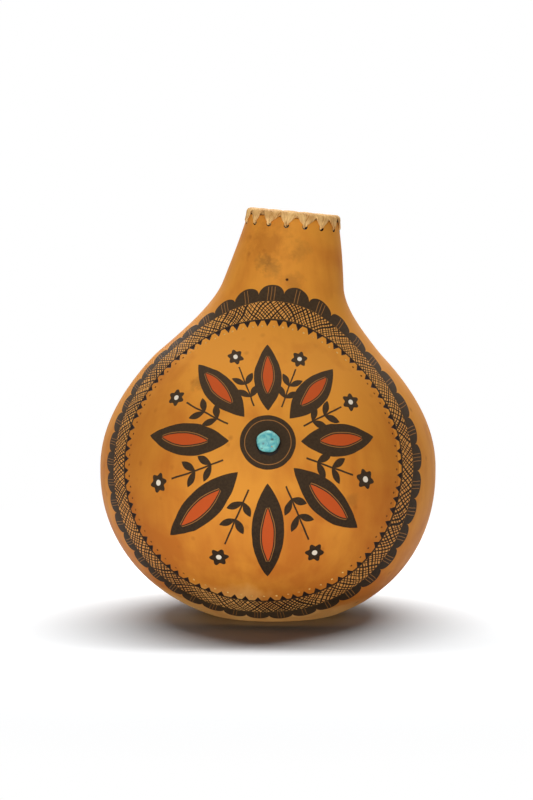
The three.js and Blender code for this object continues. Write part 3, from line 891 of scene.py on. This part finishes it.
def stitch_track(lift):
    """Points of a stitch, across the wall and above its cut edge, and its length in the hole."""
    mouth = WALL / 2 + LACE_SEAT + STRAND_THICKNESS / 2
    edge = WALL / 2 + LACE_SEAT + LACE_THICKNESS / 2 + lift
    crown = LACE_CROWN + lift
    top = LACE_BEND - HOLE_DEPTH
    hole = bend((-mouth, top), (-mouth, -HOLE_DEPTH), (LACE_BEND - mouth, -HOLE_DEPTH))
    hole += bend((mouth - LACE_BEND, -HOLE_DEPTH), (mouth, -HOLE_DEPTH), (mouth, top))
    over = []
    for turn in np.linspace(0, math.pi, CROWN_STEPS):
        across = math.copysign(abs(math.cos(turn)) ** CROWN_FULLNESS, math.cos(turn))
        over.append((edge * across, crown * math.sin(turn) ** CROWN_FULLNESS))
    points = np.array(hole + over + [(-mouth, top)])
    lengths = np.concatenate([[0], np.cumsum(np.hypot(*np.diff(points, axis=0).T))])
    return points, lengths, lengths[len(hole) - 1]


def on_track(points, lengths, travelled):
    """Point of a track at a length along it."""
    return np.array([np.interp(travelled, lengths, points[:, axis]) for axis in (0, 1)])


def smooth(share):
    share = min(1, max(0, share))
    return share * share * (3 - 2 * share)


# Section of the lace, once round: place across in half widths, and upper or lower side
LACE_SECTION = [(side * wide, side) for side in (1, -1) for wide in np.linspace(-1, 1, LACE_ACROSS)]


def lace_mesh(name, lift, way, seed):
    """One pass of lace; way is 1 or -1 for the side to which it leans."""
    chance = random.Random(seed)
    points, lengths, hole_length = stitch_track(lift)
    whole = lengths[-1]
    pitch = TURN * RIM_MIDDLE / HOLE_COUNT
    offset = (LACE_STRAND + LACE_GAP) / 2
    stitches = []
    for _ in range(HOLE_COUNT):
        steep = (chance.random() < STEEP_SHARE) == (way < 0)
        belly, splay = STEEP_ARM if steep else LEANING_ARM
        play = chance.uniform(*ARM_PLAY)
        lap = LACE_OVERLAP * chance.uniform(*OVERLAP_PLAY)
        stitches.append((lap, belly / play, splay * play, chance.uniform(0, TURN)))
    rings, windings = [], []
    for step in range(HOLE_COUNT * LACE_STEPS):
        loop, part = divmod(step, LACE_STEPS)
        travelled = part / LACE_STEPS * whole
        if (HOLE_COUNT - loop) * whole - travelled < LACE_END:
            break
        here = on_track(points, lengths, travelled)
        ahead = on_track(points, lengths, travelled + HEADING_STEP)
        before = on_track(points, lengths, travelled - HEADING_STEP)
        heading = (ahead - before) / np.linalg.norm(ahead - before)
        in_hole = travelled < hole_length
        twist = math.pi * travelled / hole_length
        stitch = (travelled - hole_length) / (whole - hole_length)
        raised = way * offset * math.sin(twist) if in_hole else 0
        from_hole = 0 if in_hole else min(travelled - hole_length, whole - travelled)
        spread = smooth(from_hole / LACE_FLARE)
        # An arm reaches from the middle of its V out to its side, and over the crown from hole to hole
        lap, belly, splay, phase = stitches[loop]
        climbed = 0 if in_hole else 1 - abs(2 * stitch - 1)
        flared = min(1, climbed / ARM_FLARE)
        outer = offset + LACE_STRAND / 2 + belly * flared * (2 - flared)
        outer += (pitch - outer) * climbed ** splay
        inner = offset - LACE_STRAND / 2 - lap * spread
        half_width = LACE_STRAND / 2 if in_hole else (outer - inner) / 2
        middle = (outer + inner) / 2
        along = -offset * math.cos(twist) if in_hole else middle if stitch < 0.5 else pitch - middle
        hole_angle = FIRST_HOLE + way * loop / HOLE_COUNT * TURN
        thicker = smooth(from_hole / STRAND_FADE) * (LACE_THICKNESS - STRAND_THICKNESS)
        half_thick = (STRAND_THICKNESS + thicker) / 2
        ring = []
        for wide, side in LACE_SECTION:
            # The ribbon thins to its edges and swells over each bundle of its fibres
            ridge = 1 + LACE_RIDGE * spread * math.cos(LACE_FIBRES * math.pi * wide + phase)
            thick = side * half_thick * math.sqrt(max(0, 1 - wide * wide)) * ridge
            angle = hole_angle + (way * along + wide * half_width) / RIM_MIDDLE
            ring.append(rim_point(here[0] + heading[1] * thick, here[1] + raised - heading[0] * thick, angle))
            windings.append((wide * half_width, loop * whole + travelled, loop))
        rings.append(ring)
    count = len(LACE_SECTION)
    faces = band_faces(len(rings), count)
    faces += [tuple(range(count))[::-1], tuple((len(rings) - 1) * count + b for b in range(count))]
    if way < 0:
        faces = [face[::-1] for face in faces]
    mesh = bpy.data.meshes.new(name)
    mesh.from_pydata([point * MM for ring in rings for point in ring], [], faces)
    kept = mesh.attributes.new("winding", "FLOAT_VECTOR", "POINT")
    kept.data.foreach_set("vector", np.array(windings).ravel())
    mesh.materials.append(LACE)
    return mesh


# Stone and pitch, in the setting's own axes: right, up along the skin, and out of it

STONE_FOOT = gourd_point(STONE_HEIGHT, FRONT, 0)
STONE_OUT = Vector((0, -1, -outer_slope(STONE_HEIGHT))).normalized()
STONE_UP = Vector((1, 0, 0)).cross(STONE_OUT) * -1


def stone_edge(angle):
    """Radius of the stone's outline, a rounded five-cornered nugget."""
    return STONE_RADIUS + 0.2 * math.cos(5 * angle - 0.96) + 0.18 * math.cos(2 * angle - 0.3)


def set_point(radius, angle, out):
    right = Vector((1, 0, 0)) * radius * math.cos(angle)
    return STONE_FOOT + right + STONE_UP * radius * math.sin(angle) + STONE_OUT * out


def skin_out(radius, angle):
    """How far the skin stands out from the setting's foot at a place round it."""
    above = 20
    _, _, _, distance = skin_tree.ray_cast(set_point(radius, angle, above), -STONE_OUT)
    return above - distance


def lidded(name, rings, material):
    """Closed mesh over rings of equal counts, with a middle point at each end."""
    count = len(rings[0])
    points = [point for ring in rings for point in ring]
    ends = [sum(rings[at], Vector()) / count for at in (0, -1)]
    faces = band_faces(len(rings), count)
    last = len(points) - count
    faces += [(len(points), (b + 1) % count, b) for b in range(count)]
    faces += [(len(points) + 1, last + b, last + (b + 1) % count) for b in range(count)]
    mesh = bpy.data.meshes.new(name)
    mesh.from_pydata([point * MM for point in points + ends], [], faces)
    mesh.materials.append(material)
    return mesh


SETTING_SIDES = 72
SETTING_ANGLES = [side / SETTING_SIDES * TURN for side in range(SETTING_SIDES)]


def stone_mesh():
    # Share of the outline and height, from the back over the girdle to the top
    profile = [(0.5, 0), (0.84, 0), (0.93, 0.25), (0.985, 0.8), (1, STONE_GIRDLE)]
    for turn in range(8, 90, 8):
        rise = math.radians(turn)
        profile.append((math.cos(rise) ** 0.72, STONE_GIRDLE + STONE_DOME * math.sin(rise) ** 1.1))
    rings = []
    for share, height in profile:
        # The tumbled faces of a nugget: the top dips and swells a little
        rings.append([
            set_point(
                share * stone_edge(angle), angle,
                STONE_BACK + height + 0.16 * math.cos(3 * angle + 1) * smooth(height / 3) * share,
            )
            for angle in SETTING_ANGLES
        ])
    return lidded("turquoise_stone", rings, TURQUOISE)


def bed_edge(angle):
    """Width of the pitch round the stone: thin above, thicker below, with a drop at the lower left."""
    below = max(0, math.cos(angle - math.radians(-72))) ** 2
    drop = math.exp(-((angle - math.radians(237)) / 0.085) ** 2)
    return BED_MARGIN + 0.95 * below + 0.9 * drop + 0.08 * math.sin(9 * angle + 2)


def bed_mesh():
    # Share of the margin and height over the skin: from under the stone, out to the edge and up to the girdle
    profile = ((-3, -0.1), (0.4, -0.1), (0.85, -0.05), (1, 0.12), (0.8, 0.45), (0.45, 1), (0.12, 1.6))
    rings = []
    for margin, height in profile:
        ring = []
        for angle in SETTING_ANGLES:
            radius = stone_edge(angle) + margin * (bed_edge(angle) if margin > 0 else 1)
            ring.append(set_point(radius, angle, skin_out(radius, angle) + height))
        rings.append(ring)
    for inset, height in ((0.02, BED_RISE), (0.25, 1.2), (1.3, BED_FLOOR + 0.2), (3, BED_FLOOR + 0.2)):
        rings.append([set_point(stone_edge(angle) - inset, angle, height) for angle in SETTING_ANGLES])
    return lidded("stone_bed", rings, PITCH)


# Pieces of the object

def smooth_shaded(mesh, sharp):
    """Mesh shaded smooth, with edges that turn by more than sharp degrees kept crisp."""
    mesh.polygons.foreach_set("use_smooth", [True] * len(mesh.polygons))
    mesh.set_sharp_from_angle(angle=math.radians(sharp))
    return mesh


bundle_sizes = {
    "Ring points": BUNDLE_POINTS, "Ring radius": RIM_MIDDLE * MM,
    "Strands": BUNDLE_STRANDS, "Twists": BUNDLE_TWISTS,
    "Twist reach": (BUNDLE_WIDTH / 2 - STRAND_RADIUS) * MM,
    "Twist rise": (BUNDLE_HEIGHT / 2 - STRAND_RADIUS) * MM,
    "Strand radius": STRAND_RADIUS * MM, "Material": BUNDLE,
}
bundle = grow("bundle", bpy.data.meshes.new("bundle_start"), twisted_bundle(bundle_sizes), bundle_sizes)
rim_turn = Vector((0, 0, 1)).rotation_difference(RIM_UP).to_matrix().to_4x4()
rim_turn.translation = (gourd_ring(RIM_HEIGHT, 1)[0] + RIM_UP * (BUNDLE_HEIGHT / 2 - BUNDLE_SINK)) * MM
bundle.transform(rim_turn)

pieces = (
    ("gourd_shell", "gourd", smooth_shaded(carved_shell(shell), 30)),
    ("rim_core", "fibre_rod", smooth_shaded(bundle, 60)),
    ("rim_lace_first", "lace", smooth_shaded(lace_mesh("rim_lace_first", 0, 1, 3), 80)),
    ("rim_lace_second", "lace", smooth_shaded(lace_mesh("rim_lace_second", LACE_LIFT, -1, 11), 80)),
    ("stone_bed", "pitch", smooth_shaded(bed_mesh(), 60)),
    ("turquoise_stone", "turquoise", smooth_shaded(stone_mesh(), 60)),
)
for name, slot, mesh in pieces:
    piece = add_object("dressed_" + name, mesh)
    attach(piece, "root")
    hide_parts(name)

# Table, light and camera

floor_mesh = bpy.data.meshes.new("table")
corners = [(x * TABLE_HALF, y * TABLE_HALF, -TABLE_DROP) for x, y in ((-1, -1), (1, -1), (1, 1), (-1, 1))]
floor_mesh.from_pydata(corners, [], [(0, 1, 2, 3)])
floor_mesh.materials.append(table_top())
floor = add_object("table", floor_mesh)

# Softboxes by place, size, watts and link to the table. Four light all but the table: overhead, behind,
# beside the camera, and from below, for the light that a white table throws up. Two light the table alone.
SOFTBOXES = (
    ("overhead_softbox", (0.07, 0.42, 1.3), (1.25, 0.2), 13, "EXCLUDE"),
    ("back_softbox", (0, 1.5, 0.85), (1.6, 0.5), 10, "EXCLUDE"),
    ("front_softbox", (-0.5, -2.1, 1.05), (2.6, 1.2), 32, "EXCLUDE"),
    ("low_softbox", (-0.1, -0.8, -0.35), (1.6, 0.4), 3.5, "EXCLUDE"),
    ("overhead_table_softbox", (0.03, 0.4, 1.3), (2, 0.3), 76, "INCLUDE"),
    ("back_table_softbox", (0, 1.5, 0.85), (3.6, 0.5), 40, "INCLUDE"),
)
linked = {}
for state in ("EXCLUDE", "INCLUDE"):
    linked[state] = bpy.data.collections.new("table_" + state.lower())
    linked[state].objects.link(floor)
    linked[state].collection_objects[0].light_linking.link_state = state
for name, place, size, watts, state in SOFTBOXES:
    softbox = bpy.data.lights.new(name, "AREA")
    softbox.shape = "RECTANGLE"
    softbox.size, softbox.size_y = size
    softbox.energy = watts
    lamp = add_object(name, softbox)
    lamp.location = place
    lamp.rotation_euler = (Vector(LAMP_AIM) - lamp.location).to_track_quat("-Z", "Y").to_euler()
    lamp.light_linking.receiver_collection = linked[state]
    if name == "low_softbox":
        # The table doesn't stand in the way of this lamp
        lamp.light_linking.blocker_collection = linked[state]

# White room: a faint even light on the gourd, and white where it is seen
world = bpy.data.worlds.new("white_room")
world.use_nodes = True
world.node_tree.nodes.clear()
add = partial(node, world.node_tree)
strength = add("ShaderNodeMapRange", seen_rays(add), 0, 1, ROOM_LIGHT, 1)
add("ShaderNodeOutputWorld", add("ShaderNodeBackground", (1, 1, 1, 1), strength))
bpy.context.scene.world = world

camera_data = bpy.data.cameras.new("camera")
camera_data.sensor_fit = "VERTICAL"
camera_data.sensor_height = SENSOR_HEIGHT
camera_data.lens = CAMERA_LENS
camera_data.clip_end = 50
camera = add_object("camera", camera_data)
back = Vector((0, -math.cos(CAMERA_ELEVATION), math.sin(CAMERA_ELEVATION)))
camera.location = (Vector(CAMERA_TARGET) + back * CAMERA_DISTANCE) * MM
camera.rotation_euler = (math.pi / 2 - CAMERA_ELEVATION, 0, 0)
bpy.context.scene.camera = camera
bpy.context.scene.view_settings.view_transform = "Standard"
